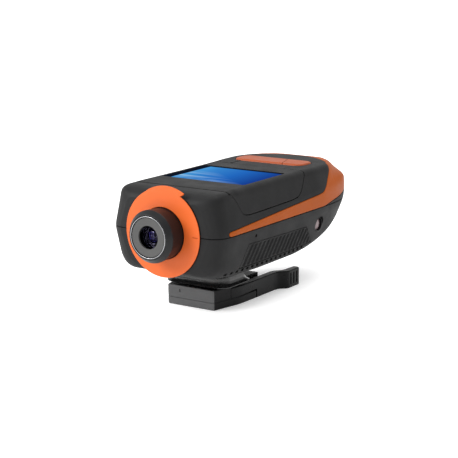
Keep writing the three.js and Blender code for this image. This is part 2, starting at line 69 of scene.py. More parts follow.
# Cross-sections of the housing from nose to stern, as the CAD has them: station along Y, half width of the
# upright strip, its upper edge, half width and height of the top, half width and height of the bottom,
# and how round the bottom corner is.
STATIONS = np.array([
    (0.5, 18.6, 1.0, 15.0, 11.2, 14.2, -12.6, 5.0),
    (1.2, 20.6, 1.0, 17.2, 12.5, 16.8, -13.6, 5.4),
    (2.6, 22.5, 1.0, 19.3, 13.6, 19.0, -14.5, 5.8),
    (4.6, 23.4, 1.0, 20.6, 14.3, 20.3, -15.0, 5.8),
    (7, 23.8, 1.1, 21.0, 14.6, 20.8, -15.4, 5.0),
    (11, 24.0, 1.3, 21.0, 14.7, 21.0, -15.6, 3.8),
    (17, 24.0, 1.8, 20.9, 14.8, 21.2, -15.6, 2.8),
    (30, 24.0, 3.0, 20.8, 14.8, 21.5, -15.6, 1.8),
    (50, 24.0, 4.5, 20.8, 14.8, 21.4, -15.6, 1.8),
    (60, 24.0, 5.2, 21.1, 14.8, 21.0, -15.2, 2.0),
    (68, 24.0, 5.7, 21.6, 14.8, 20.4, -14.6, 2.6),
    (75, 23.7, 6.2, 21.5, 14.8, 19.8, -13.7, 3.4),
    (80, 23.3, 7.0, 20.0, 14.8, 19.4, -12.5, 4.0),
    (84, 22.7, 7.8, 17.6, 14.8, 18.8, -11.0, 4.6),
    (88, 21.7, 8.4, 14.4, 14.7, 17.6, -8.4, 4.8),
    (91.8, 19.9, 8.6, 10.4, 14.4, 15.6, -4.6, 4.8),
    (94.9, 16.9, 8.6, 7.0, 13.0, 12.6, -0.6, 3.8),
    (96.9, 12.0, 8.0, 4.6, 10.8, 8.2, 2.8, 2.4),
    (97.9, 6.0, 7.2, 3.0, 8.6, 4.2, 5.2, 1.0),
])
NOSE, STERN = STATIONS[0, 0], STATIONS[-1, 0]
WAIST_LOW = -1.0  # lower edge of the upright strip
THINNEST_STRIP = 0.4
ROUND_WAIST, ROUND_TOP = 1.6, 2.4
WALL = 2.0
SEAM = 0.15  # half of the parting line's gap
BAND_GAP = 0.2  # gap between the band and the shells
COVER_GAP = 0.27  # gap between the display cover and the upper shell
FRONT_GAP = 3.2  # how many times wider that gap is along the cover's front edge
BAND_DEPTH = 1.0
SEAT_RISE = 0.7  # how far a cutter for a recess in the skin stands out of it

# Lower edge of the display cover on a flank: (Y, Z). It sweeps up before the first Y of COVER_SWEEPS and
# behind the second.
COVER_EDGE = np.array([
    (11.2, 14.0), (11.9, 13.0), (12.9, 11.8), (14.1, 10.0), (15.1, 7.9), (16.2, 6.6), (18.0, 5.9), (21, 5.7),
    (38, 6.0), (46, 6.2), (51.0, 6.6), (54.4, 8.2), (57.0, 10.9), (58.8, 13.2), (59.8, 14.4),
])
COVER_SWEEPS = 19, 51

# The band from where it widens to the middle of the stern: lower edge as (Y, Z), and upper edge as (Y, Z) on
# the flank, or (Y, None, X) on the top.
BAND_LOWER = [
    (66, 0.12), (70, 0.15), (74, 0.7), (78, 1.3), (82, 1.8), (86, 2.5), (90, 3.4), (92.8, 4.2), (95, 4.8),
    (96.8, 5.3), (97.6, 5.5), (97.9, 5.5),
]
BAND_UPPER = [
    (66, 5.1), (69.2, 5.6), (71.6, 7.2), (74.0, 9.8), (76.4, 12.4), (78.8, None, 19.6), (81.2, None, 17.6),
    (83.8, None, 14.8), (86.2, None, 11.5), (88.4, None, 7.8), (89.8, None, 4.0), (90.3, None, 0.0),
]
BAND_TIP = 6.4
BAND_TIP_LENGTH = 1.1  # length over which the tip is rounded off
BAND_TIP_STEPS = 0.02, 0.1, 0.25, 0.45, 0.7, 1.0, 1.4
BAND_TOP = [(BAND_TIP, 1.7), (42, 3.8), (66, 5.1)]  # (Y, Z) of the upper edge before the band widens
# Corners of the grip patch: (Y, Z), low front, high front, high back, low back.
GRIP = np.array([(15.0, -12.9), (19.2, -4.7), (58.0, -5.8), (64.6, -12.9)])


# ---- smooth curves ----
def monotone(xs, ys, x):
    """Smooth curve through the points that never overshoots them."""
    xs, ys, x = np.asarray(xs, float), np.asarray(ys, float), np.asarray(x, float)
    step = np.diff(xs)
    slope = np.diff(ys) / step
    tangent = np.zeros_like(ys)
    tangent[0], tangent[-1] = slope[0], slope[-1]
    for i in range(1, len(xs) - 1):
        if slope[i - 1] * slope[i] > 0:
            a, b = 2 * step[i] + step[i - 1], step[i] + 2 * step[i - 1]
            tangent[i] = (a + b) / (a / slope[i - 1] + b / slope[i])
    k = np.clip(np.searchsorted(xs, x, side="right") - 1, 0, len(xs) - 2)
    t = np.clip((x - xs[k]) / step[k], 0, 1)
    a, b = ys[k], ys[k + 1]
    m, n = tangent[k] * step[k], tangent[k + 1] * step[k]
    share_a, share_b = 2 * t**3 - 3 * t**2 + 1, 3 * t**2 - 2 * t**3
    share_m, share_n = t**3 - 2 * t**2 + t, t**3 - t**2
    return share_a * a + share_m * m + share_b * b + share_n * n


def station(y):
    """The housing's measures at y, in the order of STATIONS."""
    return [float(monotone(STATIONS[:, 0], STATIONS[:, c], y)) for c in range(1, STATIONS.shape[1])]


def corner(before, at, after, radius, steps):
    """Points round one corner of an outline."""
    a, b, c = (np.array(p, float) for p in (before, at, after))
    start = b + (a - b) * min(radius / np.linalg.norm(a - b), 0.45)
    end = b + (c - b) * min(radius / np.linalg.norm(c - b), 0.45)
    return [(1 - t) ** 2 * start + 2 * t * (1 - t) * b + t**2 * end for t in np.linspace(0, 1, steps)]


def half_section(y, inset=0.0, steps=9):
    """Right half of the housing's outline at y as (x, z), from the bottom centre to the top centre."""
    half, waist, top_half, top, bottom_half, bottom, round_bottom = station(y)
    low = min(max(WAIST_LOW, (bottom + waist) / 2), waist - THINNEST_STRIP)
    path = [
        (0, bottom + inset), (bottom_half - inset, bottom + inset), (half - inset, low),
        (half - inset, waist), (top_half - inset, top - inset), (0, top - inset),
    ]
    radii = [round_bottom, ROUND_WAIST, ROUND_WAIST, ROUND_TOP]
    points = [np.array(path[0], float)]
    for i, radius in enumerate(radii, 1):
        points += corner(path[i - 1], path[i], path[i + 1], radius, steps)
    return np.array(points + [np.array(path[-1], float)])


def flank_x(y, z):
    """Half width of the housing at height z."""
    points = half_section(y, steps=24)
    side = points[1:-1]
    return float(np.interp(z, side[:, 1], side[:, 0]))


# ---- meshes ----
BEVEL_ANGLE = 30


def mesh_object(name, points, faces):
    mesh = bpy.data.meshes.new(name)
    mesh.from_pydata([tuple(map(float, p)) for p in points], [], faces)
    mesh.validate()
    obj = bpy.data.objects.new(name, mesh)
    bpy.context.scene.collection.objects.link(obj)
    return obj


def grid_faces(rows, columns, wrap=False, start=0, flip=False):
    faces = []
    for i in range(rows - 1):
        for j in range(columns if wrap else columns - 1):
            k = (j + 1) % columns
            quad = (i * columns + j, i * columns + k, (i + 1) * columns + k, (i + 1) * columns + j)
            faces.append(tuple(start + v for v in (quad[::-1] if flip else quad)))
    return faces


def face_outwards(obj):
    work = bmesh.new()
    work.from_mesh(obj.data)
    bmesh.ops.recalc_face_normals(work, faces=work.faces)
    work.to_mesh(obj.data)
    work.free()
    return obj


def tube_of_rings(name, rings):
    """A closed skin through rings of points."""
    rings = np.asarray(rings, float)
    count, around = rings.shape[:2]
    faces = grid_faces(count, around, wrap=True)
    faces += [tuple(range(around)), tuple((count - 1) * around + j for j in range(around))]
    return face_outwards(mesh_object(name, rings.reshape(-1, 3), faces))


def hull(inset=0.0, per_gap=6, steps=9):
    """The housing's outer skin, moved inwards by an inset."""
    gaps = zip(STATIONS[:-1, 0], STATIONS[1:, 0])
    ys = [y for a, b in gaps for y in np.linspace(a, b, per_gap, endpoint=False)]
    ys = np.array(ys + [STERN])
    if inset > 0:
        least = 2 * inset + 3  # a lower section has no room for a cavity
        ys = np.array([y for y in ys if station(y)[3] - station(y)[5] > least])
    shrink = (STERN - NOSE - 2 * inset) / (STERN - NOSE)
    rings = []
    for y in ys:
        right = half_section(y, inset, steps)
        section = np.vstack([right, right[-2:0:-1] * (-1, 1)])
        at = NOSE + inset + (y - NOSE) * shrink
        rings.append([(x, at, z) for x, z in section])
    return tube_of_rings("hull", rings)


def evaluated(obj):
    """Puts the result of obj's modifiers into its own mesh."""
    graph = bpy.context.evaluated_depsgraph_get()
    mesh = bpy.data.meshes.new_from_object(obj.evaluated_get(graph))
    obj.modifiers.clear()
    obj.data = mesh
    return obj


def combine(obj, tool, operation):
    """obj with tool taken away, added or kept in common. The tool is used up."""
    modifier = obj.modifiers.new("combine", "BOOLEAN")
    modifier.object = tool
    modifier.operation = operation
    modifier.solver = "MANIFOLD"
    evaluated(obj)
    bpy.data.objects.remove(tool)
    return obj


def cut(obj, *tools):
    for tool in tools:
        combine(obj, tool, "DIFFERENCE")
    return obj


def box(x, y, z, bevel=0.0):
    corners = [(a, b, c) for c in z for b in y for a in x]
    faces = [(0, 2, 3, 1), (4, 5, 7, 6), (0, 1, 5, 4), (2, 6, 7, 3), (0, 4, 6, 2), (1, 3, 7, 5)]
    obj = mesh_object("box", corners, faces)
    return rounded(obj, bevel) if bevel else obj


def rounded(obj, width, segments=3):
    """Rounds the edges of obj where its faces meet at more than BEVEL_ANGLE."""
    bevel = obj.modifiers.new("bevel", "BEVEL")
    bevel.width = width
    bevel.segments = segments
    bevel.limit_method = "ANGLE"
    bevel.angle_limit = math.radians(BEVEL_ANGLE)
    return evaluated(obj)


def turned(name, profile, segments=96, axis="Y", at=(0, 0, 0)):
    """A closed profile of (radius, along) points turned about an axis."""
    points = np.array(profile, float)
    rings = []
    for angle in np.linspace(0, 2 * math.pi, segments, endpoint=False):
        c, s = math.cos(angle), math.sin(angle)
        along, radius = points[:, 1], points[:, 0]
        frames = {"Y": (radius * c, along, radius * s), "Z": (radius * c, radius * s, along),
                  "X": (along, radius * c, radius * s)}
        rings.append(np.array(frames[axis]).T + np.array(at, float))
    rings = np.array(rings)
    faces = []
    count = len(points)
    for i in range(segments):
        a, b = i * count, ((i + 1) % segments) * count
        for j in range(count):
            k = (j + 1) % count
            faces.append((a + j, b + j, b + k, a + k))
    obj = mesh_object(name, rings.reshape(-1, 3), faces)
    work = bmesh.new()
    work.from_mesh(obj.data)
    bmesh.ops.remove_doubles(work, verts=work.verts, dist=1e-5)
    bmesh.ops.dissolve_degenerate(work, dist=1e-6, edges=work.edges)
    bmesh.ops.recalc_face_normals(work, faces=work.faces)
    work.to_mesh(obj.data)
    work.free()
    return obj


def soften(profile, radius, steps=5):
    """Rounds every corner of a closed profile."""
    count = len(profile)
    points = []
    for i, at in enumerate(profile):
        if len(at) > 2 and at[2] == 0:
            points.append(np.array(at[:2], float))
            continue
        reach = at[2] if len(at) > 2 else radius
        points += corner(profile[i - 1][:2], at[:2], profile[(i + 1) % count][:2], reach, steps)
    return points


def prism(name, outline, z0, z1, axis="Z"):
    """A flat outline pushed along an axis."""
    orders = {"X": lambda a, b, h: (h, a, b), "Y": lambda a, b, h: (a, h, b), "Z": lambda a, b, h: (a, b, h)}
    order = orders[axis]
    return tube_of_rings(name, [[order(p[0], p[1], level) for p in outline] for level in (z0, z1)])


def rounded_rectangle(x0, x1, y0, y1, r, steps=8):
    points = []
    centres = (x1 - r, y0 + r, -90), (x1 - r, y1 - r, 0), (x0 + r, y1 - r, 90), (x0 + r, y0 + r, 180)
    for cx, cy, start in centres:
        for angle in np.radians(np.linspace(start, start + 90, steps)):
            points.append((cx + r * math.cos(angle), cy + r * math.sin(angle)))
    return points


# ---- patches of the housing's skin ----
def grid_normals(grid):
    along = np.gradient(grid, axis=0)
    across = np.gradient(grid, axis=1)
    normal = np.cross(along, across)
    normal /= np.linalg.norm(normal, axis=2, keepdims=True) + 1e-12
    middle = np.array([0, grid[:, :, 1].mean() - 8, 0])
    if np.sum(normal * (grid - middle)) < 0:
        normal = -normal
    return normal


def edge_distance(grid):
    """How far each point of a grid is from its border, along the grid's own lines."""
    def run(g):
        steps = np.linalg.norm(np.diff(g, axis=0), axis=2)
        from_start = np.vstack([np.zeros(steps.shape[1]), np.cumsum(steps, axis=0)])
        return np.minimum(from_start, from_start[-1] - from_start)
    return np.minimum(run(grid), run(grid.transpose(1, 0, 2)).T)


def thick_patch(name, grid, depth, lip=0.0, rise=0.0):
    """A closed plate over a grid of skin points, with a rounded edge of radius lip, standing out by rise."""
    normal = grid_normals(grid)
    near = np.clip(edge_distance(grid), 0, lip) if lip else np.zeros(grid.shape[:2])
    drop = lip - np.sqrt(np.maximum(lip**2 - (lip - near) ** 2, 0)) if lip else near
    top = grid + normal * (rise - drop)[..., None]
    bottom = grid - normal * depth
    rows, columns = grid.shape[:2]
    count = rows * columns
    faces = grid_faces(rows, columns) + grid_faces(rows, columns, start=count, flip=True)
    rim = [(0, j) for j in range(columns)] + [(i, columns - 1) for i in range(1, rows)]
    rim += [(rows - 1, j) for j in range(columns - 2, -1, -1)] + [(i, 0) for i in range(rows - 2, 0, -1)]
    loop = [i * columns + j for i, j in rim]
    faces += [(a, b, b + count, a + count) for a, b in zip(loop, loop[1:] + loop[:1])]
    return face_outwards(mesh_object(name, np.vstack([top.reshape(-1, 3), bottom.reshape(-1, 3)]), faces))


def clustered(count, length, ends=(0.05, 0.14, 0.28, 0.5)):
    """Shares from 0 to 1, close together at both ends so that an edge can be rounded."""
    ends = [e / length for e in ends if e < length / 3]
    inner = np.linspace(ends[-1] if ends else 0, 1 - (ends[-1] if ends else 0), count)
    lead = [0.0] + ends[:-1] if ends else []
    return np.array(lead + list(inner) + [1 - e for e in reversed(lead)])


def cover_grid(margin=0.0):
    """Skin points of the display cover: over the top, and down each flank to its edge."""
    edge_y, edge_z = COVER_EDGE.T
    y0, y1 = edge_y[0] - margin * FRONT_GAP, edge_y[-1] + margin
    front = np.linspace(y0 + 0.6, COVER_SWEEPS[0], 26)
    back = np.linspace(COVER_SWEEPS[1], y1 - 0.6, 14)
    rows = y0 + (y1 - y0) * clustered(64, y1 - y0)
    rows = np.sort(np.concatenate([rows, front, back]))
    grid = []
    for y in rows:
        edge = float(monotone(edge_y, edge_z, np.clip(y, edge_y[0], edge_y[-1])))
        highest = station(y)[3] - 0.3
        edge = min(edge, highest) - margin
        half = half_section(y, steps=20)[::-1]
        half = half[: int(np.argmax(half[:, 1] < edge)) + 1]
        cross = (half[-2][1] - edge) / (half[-2][1] - half[-1][1])
        half[-1] = half[-2] + (half[-1] - half[-2]) * cross
        run = np.concatenate([[0], np.cumsum(np.linalg.norm(np.diff(half, axis=0), axis=1))])
        share = clustered(72, 2 * run[-1]) * 2 - 1
        x = np.interp(np.abs(share) * run[-1], run, half[:, 0]) * np.sign(share)
        z = np.interp(np.abs(share) * run[-1], run, half[:, 1])
        grid.append(np.column_stack([x, np.full(len(x), y), z]))
    return np.array(grid)


skin_mesh = hull(per_gap=10, steps=24)
SKIN = BVHTree.FromObject(skin_mesh, bpy.context.evaluated_depsgraph_get())


def on_skin(inside, towards):
    """Where a ray from a point inside the housing leaves it."""
    way = (Vector(towards) - Vector(inside)).normalized()
    hit = SKIN.ray_cast(Vector(inside), way)[0]
    return np.array(hit if hit is not None else towards)


def catmull(points, per_gap):
    """A smooth line through points."""
    p = np.array(points, float)
    p = np.vstack([2 * p[0] - p[1], p, 2 * p[-1] - p[-2]])
    line = []
    for i in range(1, len(p) - 2):
        for t in np.linspace(0, 1, per_gap, endpoint=False):
            a, b, c, d = p[i - 1 : i + 3]
            slope = (c - a) * t
            bend = (2 * a - 5 * b + 4 * c - d) * t**2
            twist = (3 * b - a - 3 * c + d) * t**3
            line.append(0.5 * (2 * b + slope + bend + twist))
    return np.array(line + [p[-2]])


def on_flank(y, z):
    return flank_x(y, z), y, z


def band_edges(margin):
    """Lower and upper edge of the band, from the tip on the right flank to the middle of the stern."""
    tip = BAND_TIP - margin
    foot = BAND_LOWER[0][1]
    front = np.concatenate([tip + np.array(BAND_TIP_STEPS), np.linspace(8.4, BAND_LOWER[0][0], 60)])
    lower, upper = [], []
    for y in front[:-1]:
        blunt = math.sqrt(1 - (1 - min((y - tip) / BAND_TIP_LENGTH, 1)) ** 2)
        top = float(np.interp(y, *zip(*BAND_TOP)))
        middle = (foot + top) / 2
        reach = (top - foot) / 2 * blunt + margin
        lower.append(on_flank(y, middle - reach))
        upper.append(on_flank(y, middle + reach))
    low = [on_flank(y, z - margin) for y, z in BAND_LOWER[:-1]]
    low.append((0, STERN, BAND_LOWER[-1][1] - margin))
    high = []
    for y, z, *x in BAND_UPPER:
        inner = y - (margin if z is None else 0)
        high.append((x[0], inner, station(inner)[3]) if x else on_flank(y, z + margin))
    return np.vstack([lower, catmull(low, 8)]), np.vstack([upper, catmull(high, 8)])


def across_band(a, b):
    """Skin points from a on the band's lower edge to b on its upper edge, cast from a point inside."""
    spread = abs(a[1] - b[1])
    level = 4.0 if spread > 1 else (a[2] + b[2]) / 2
    inside = np.array([0.4 * max(a[0], b[0] * 0.6), min(a[1], b[1]) - 0.55 * spread, level])
    one, two = Vector(a - inside), Vector(b - inside)
    angle = one.angle(two, 0.0)
    row = []
    for share in clustered(14, max(float(np.linalg.norm(a - b)), 1.6)):
        way = one if angle < 1e-4 else one.normalized().slerp(two.normalized(), share) * 10
        row.append(on_skin(inside, inside + np.array(way)))
    return row


def band_grid(margin=0.0):
    """Skin points of the orange band, from the tip on the right flank round the stern to the left tip."""
    lower, upper = band_edges(margin)
    right = np.array([across_band(a, b) for a, b in zip(lower, upper)])
    left = right[-2::-1] * (-1, 1, 1)
    return np.vstack([right, left])


# ---- materials ----
def shader(name, **sockets):
    """A Principled material and its parts. Sockets set on it are the same all over the surface."""
    material = bpy.data.materials.new(name)
    material.use_nodes = True
    tree = material.node_tree
    bsdf = tree.nodes["Principled BSDF"]
    for key, value in sockets.items():
        socket = bsdf.inputs[key.replace("_", " ")]
        socket.default_value = (*value, 1.0) if isinstance(value, tuple) and len(value) == 3 else value
    return material, tree, bsdf


def add(tree, kind, **settings):
    node = tree.nodes.new(kind)
    for key, value in settings.items():
        if hasattr(node, key):
            setattr(node, key, value)
        else:
            node.inputs[key.replace("_", " ")].default_value = value
    return node


def noise(tree, scale, detail, stretch=(1, 1, 1)):
    """Noise in object space, in features per metre."""
    coordinates = add(tree, "ShaderNodeTexCoord")
    mapping = add(tree, "ShaderNodeMapping")
    mapping.inputs["Scale"].default_value = stretch
    tree.links.new(coordinates.outputs["Object"], mapping.inputs["Vector"])
    texture = add(tree, "ShaderNodeTexNoise", Scale=scale, Detail=detail, Roughness=0.55)
    tree.links.new(mapping.outputs["Vector"], texture.inputs["Vector"])
    return texture.outputs["Fac"]


def ramp(tree, source, stops):
    node = add(tree, "ShaderNodeValToRGB")
    elements = node.color_ramp.elements
    while len(elements) < len(stops):
        elements.new(0.5)
    for element, (position, colour) in zip(elements, stops):
        element.position = position
        element.color = (*colour, 1.0) if len(colour) == 3 else colour
    tree.links.new(source, node.inputs["Fac"])
    return node.outputs["Color"]


def grey(value):
    return (value, value, value)


def vary_colour(tree, bsdf, colour, spread, scale):
    low = tuple(c * (1 - spread) for c in colour)
    high = tuple(min(c * (1 + spread), 1.0) for c in colour)
    shade = ramp(tree, noise(tree, scale, 3.0), [(0.3, low), (0.7, high)])
    tree.links.new(shade, bsdf.inputs["Base Color"])


def vary_roughness(tree, bsdf, low, high, scale):
    shade = ramp(tree, noise(tree, scale, 2.0), [(0.3, grey(low)), (0.7, grey(high))])
    tree.links.new(shade, bsdf.inputs["Roughness"])


def bump(tree, bsdf, height, depth, strength):
    node = add(tree, "ShaderNodeBump")
    node.inputs["Strength"].default_value = strength
    node.inputs["Distance"].default_value = depth
    tree.links.new(height, node.inputs["Height"])
    tree.links.new(node.outputs["Normal"], bsdf.inputs["Normal"])


def moulded(name, colour, rough, grain, depth, spread=0.06, strength=0.5, **sockets):
    """Moulded plastic: a fine spark-eroded grain, with slow changes of colour and gloss."""
    material, tree, bsdf = shader(name, **sockets)
    vary_colour(tree, bsdf, colour, spread, 90.0)
    vary_roughness(tree, bsdf, rough[0], rough[1], 160.0)
    bump(tree, bsdf, noise(tree, grain, 2.0), depth, strength)
    return material


def metal(name, colour, rough, stretch):
    material, tree, bsdf = shader(name, Metallic=1.0)
    vary_colour(tree, bsdf, colour, 0.08, 300.0)
    vary_roughness(tree, bsdf, rough[0], rough[1], 900.0)
    bump(tree, bsdf, noise(tree, 1500.0, 2.0, stretch=stretch), 0.00003, 0.3)
    return material


SOFT_TOUCH = moulded("soft_touch_charcoal", (0.0105, 0.0105, 0.0108), (0.52, 0.62), 9000.0, 0.00002, 0.12,
                     Specular_IOR_Level=0.12)
RING_ORANGE = moulded("ring_orange", (0.50, 0.088, 0.015), (0.42, 0.5), 5200.0, 0.000012, 0.03, 0.3,
                      Specular_IOR_Level=0.2)
BAND_ORANGE = moulded("band_orange", (0.28, 0.055, 0.003), (0.4, 0.5), 5200.0, 0.000012, 0.05, 0.3,
                      Specular_IOR_Level=0.08)
KEY_ORANGE = moulded("key_orange", (0.27, 0.055, 0.016), (0.38, 0.48), 5200.0, 0.000012, 0.05, 0.3,
                     Specular_IOR_Level=0.14)
GLOSS_BLACK = moulded("gloss_black", (0.0035, 0.0035, 0.0038), (0.24, 0.36), 700.0, 0.00003, 0.15, 0.25,
                     Specular_IOR_Level=0.12)
# Painted light: a lighter grey for the buckle's faces turned to the front, as though lit from the front,
# with a less glossy surface.
NOSE_PAINTED_LIGHT = moulded("nose_painted_light", (0.064, 0.064, 0.065), (0.4, 0.5), 6000.0, 0.00001, 0.1, 0.3,
                      Specular_IOR_Level=0.25)
SATIN_BLACK = moulded("satin_black", (0.006, 0.006, 0.0065), (0.34, 0.44), 6000.0, 0.00001, 0.1, 0.3,
                     Specular_IOR_Level=0.2)
GRIP_RUBBER = moulded("grip_rubber", (0.007, 0.007, 0.0072), (0.5, 0.66), 7000.0, 0.00002, 0.15,
                      Specular_IOR_Level=0.15)
FACE_GREY = moulded("lens_face_grey", (0.054, 0.054, 0.053), (0.5, 0.58), 8000.0, 0.00001, 0.05, 0.3,
                    Specular_IOR_Level=0.2)
STEEL = metal("steel", (0.62, 0.62, 0.63), (0.22, 0.34), (1, 1, 12))
BRASS = metal("brass", (0.66, 0.47, 0.19), (0.25, 0.4), (1, 1, 8))
BRIGHT_RIM = metal("bright_rim", (0.32, 0.32, 0.33), (0.2, 0.3), (1, 6, 1))
EYE_LENS = moulded("eye_lens", (0.16, 0.11, 0.115), (0.18, 0.26), 3000.0, 0.00001, 0.1, 0.1)
BATTERY_WRAP = moulded("battery_wrap", (0.05, 0.055, 0.065), (0.3, 0.45), 900.0, 0.00004, 0.2)


def glass(name, tint, rough, ior):
    material, tree, bsdf = shader(name, Transmission_Weight=1.0, IOR=ior, Base_Color=tint)
    vary_roughness(tree, bsdf, rough, rough + 0.015, 60.0)
    return material


def painted_glint_glass(name, deep, glint):
    """A dark optical surface with a thin clear coat and a painted glint: its base colour turns from deep to
    the glint colour at a slant to the view, a painted reflection of the coating.
    """
    material, tree, bsdf = shader(name, Coat_Weight=0.25, Coat_Roughness=0.12, Specular_IOR_Level=0.25)
    weight = add(tree, "ShaderNodeLayerWeight", Blend=0.35)
    shade = ramp(tree, weight.outputs["Facing"], [(0.0, deep), (0.55, glint), (1.0, deep)])
    tree.links.new(shade, bsdf.inputs["Base Color"])
    vary_roughness(tree, bsdf, 0.03, 0.08, 200.0)
    return material


# The lens glass gets a painted purple glint in its base colour, where a coating would reflect the light.
LENS_GLASS = painted_glint_glass("painted_glint_lens", (0.004, 0.004, 0.008), (0.035, 0.03, 0.10))
COVER_GLASS = glass("cover_glass", (0.62, 0.6, 0.76), rough=0.02, ior=1.02)
NECK_GLOSS = moulded("neck_gloss", (0.006, 0.006, 0.0062), (0.2, 0.28), 700.0, 0.00002, 0.15, 0.2,
                     Specular_IOR_Level=0.5)


def circuit_board():
    material, tree, bsdf = shader("circuit_board")
    traces = ramp(tree, noise(tree, 900.0, 1.0), [(0.47, (0.006, 0.07, 0.025)), (0.5, (0.02, 0.16, 0.05)),
                                                 (0.53, (0.006, 0.07, 0.025))])
    tree.links.new(traces, bsdf.inputs["Base Color"])
    vary_roughness(tree, bsdf, 0.3, 0.5, 500.0)
    bump(tree, bsdf, noise(tree, 900.0, 1.0), 0.00004, 0.4)
    return material


BOARD = circuit_board()


def multiplied(tree, one, other):
    mix = add(tree, "ShaderNodeMix", data_type="RGBA", blend_type="MULTIPLY")
    mix.inputs[0].default_value = 1.0
    tree.links.new(one, mix.inputs[6])
    tree.links.new(other, mix.inputs[7])
    return mix.outputs[2]


# Where the picture starts and ends on the pane, as shares of its width and length, with a soft border.
PICTURE_ACROSS = 0.09, 0.1, 0.985, 0.995
PICTURE_ALONG = 0.01, 0.025, 0.94, 0.955


def window_mask(tree, source, stops):
    """1 within the stops and 0 outside them."""
    return ramp(tree, source, list(zip(stops, map(grey, (0.0, 1.0, 1.0, 0.0)))))


def lit_screen(low, high):
    """A generic blue sky picture: lighter to the left, with pale streaks to the front left."""
    material, tree, bsdf = shader("lit_screen", Roughness=0.4, Base_Color=(0.002, 0.004, 0.01),
                                  Specular_IOR_Level=0.0)
    coordinates = add(tree, "ShaderNodeTexCoord")
    mapping = add(tree, "ShaderNodeMapping")
    width, depth = high.x - low.x, high.y - low.y
    mapping.inputs["Location"].default_value = (-low.x / width, -low.y / depth, 0)
    mapping.inputs["Scale"].default_value = (1 / width, 1 / depth, 1)
    tree.links.new(coordinates.outputs["Object"], mapping.inputs["Vector"])
    split = add(tree, "ShaderNodeSeparateXYZ")
    tree.links.new(mapping.outputs["Vector"], split.inputs["Vector"])
    sky = ramp(tree, split.outputs["X"], [(0.0, (0.07, 0.36, 0.72)), (0.28, (0.03, 0.21, 0.58)),
                                          (0.6, (0.012, 0.13, 0.50)), (1.0, (0.004, 0.035, 0.25))])
    wave = add(tree, "ShaderNodeTexNoise", Scale=1.6, Detail=5.0, Roughness=0.6)
    shift = add(tree, "ShaderNodeMapping")
    shift.inputs["Rotation"].default_value = (0, 0, math.radians(38))
    shift.inputs["Scale"].default_value = (0.5, 3.4, 1)
    tree.links.new(mapping.outputs["Vector"], shift.inputs["Vector"])
    tree.links.new(shift.outputs["Vector"], wave.inputs["Vector"])
    total = add(tree, "ShaderNodeMath", operation="ADD")
    tree.links.new(split.outputs["X"], total.inputs[0])
    tree.links.new(split.outputs["Y"], total.inputs[1])
    left_front = ramp(tree, total.outputs["Value"], [(0.0, grey(1.0)), (1.0, grey(0.0))])
    cloud = ramp(tree, wave.outputs["Fac"], [(0.45, grey(0.0)), (0.6, grey(1.0))])
    picture = add(tree, "ShaderNodeMix", data_type="RGBA")
    tree.links.new(multiplied(tree, cloud, left_front), picture.inputs[0])
    tree.links.new(sky, picture.inputs[6])
    picture.inputs[7].default_value = (0.55, 0.80, 0.92, 1)
    across = window_mask(tree, split.outputs["X"], PICTURE_ACROSS)
    along = window_mask(tree, split.outputs["Y"], PICTURE_ALONG)
    inside = multiplied(tree, across, along)
    tree.links.new(multiplied(tree, inside, picture.outputs[2]), bsdf.inputs["Emission Color"])
    bsdf.inputs["Emission Strength"].default_value = 1.0
    return material


# ---- putting a piece into the frame ----
def smooth(obj, angle=34):
    """Smooth shading up to an angle, with flat faces kept flat beside their rounded edges."""
    mesh = obj.data
    mesh.polygons.foreach_set("use_smooth", [True] * len(mesh.polygons))
    mesh.set_sharp_from_angle(angle=math.radians(angle))
    mesh.update()
    weighted = obj.modifiers.new("weighted", "WEIGHTED_NORMAL")
    weighted.keep_sharp = True
    evaluated(obj)


def place(obj, name, body, material, nodes=(), angle=34):
    """Turns a shape into a finished piece that rides on a body and stands for CAD nodes."""
    obj.name = name
    obj.data.name = name
    obj.data.transform(Matrix.Translation(ORIGIN) @ Matrix.Scale(MM, 4))
    obj.data.materials.clear()
    obj.data.materials.append(material)
    smooth(obj, angle)
    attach(obj, body)
    if nodes:
        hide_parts(*nodes)
    return obj


# ---- the camera's pieces ----
ALL_X, ALL_Y = (-40, 40), (-20, 120)
COVER_WALL = 1.9
FLANGE, BORE = 0.8, 9.3  # back of the ring's flange, and its bore
LUG = (1.75, 1.1)  # centre of the lug's edge, an arc of the ring's own radius
LUG_SEAT = (-7.2, 9.8)  # from left to right
RING_SEAT = [(13.2, 4.7), (12.2, 6.9)]  # (radius, depth) of the steps behind the ring
KEY_GAP, KEY_SPLIT = 0.2, 0.15
WINDOW_LOW, WINDOW_HIGH = cad("display_window")
LCD_LOW, LCD_HIGH = cad("lcd_panel")
KEYS_LOW, KEYS_HIGH = cad("record_button")[0], cad("power_button")[1]
SPLIT = cad("record_button")[1].x + KEY_SPLIT, cad("power_button")[0].x - KEY_SPLIT
LATCH_LOW, LATCH_HIGH = cad("module_latch")
EYE_LOW, EYE_HIGH = cad("ir_bezel")
EYE = ((EYE_LOW.y + EYE_HIGH.y) / 2, (EYE_LOW.z + EYE_HIGH.z) / 2)
EYE_RADIUS = (EYE_HIGH.z - EYE_LOW.z) / 2
MIC_LOW, MIC_HIGH = cad("microphone")
MIC = ((MIC_LOW.y + MIC_HIGH.y) / 2, (MIC_LOW.z + MIC_HIGH.z) / 2)
PAN = (cad("tripod_screw")[0].y + cad("tripod_screw")[1].y) / 2


def cross_hole(radius, x0, x1, y, z):
    return turned("hole", [(0, x0), (radius, x0), (radius, x1), (0, x1)], 40, "X", (0, y, z))


def keys_plan(margin):
    """Outline of both keys together, made larger by a margin."""
    left, right = KEYS_LOW.x - margin, KEYS_HIGH.x + margin
    return rounded_rectangle(left, right, KEYS_LOW.y - margin, KEYS_HIGH.y + margin, 3.4)


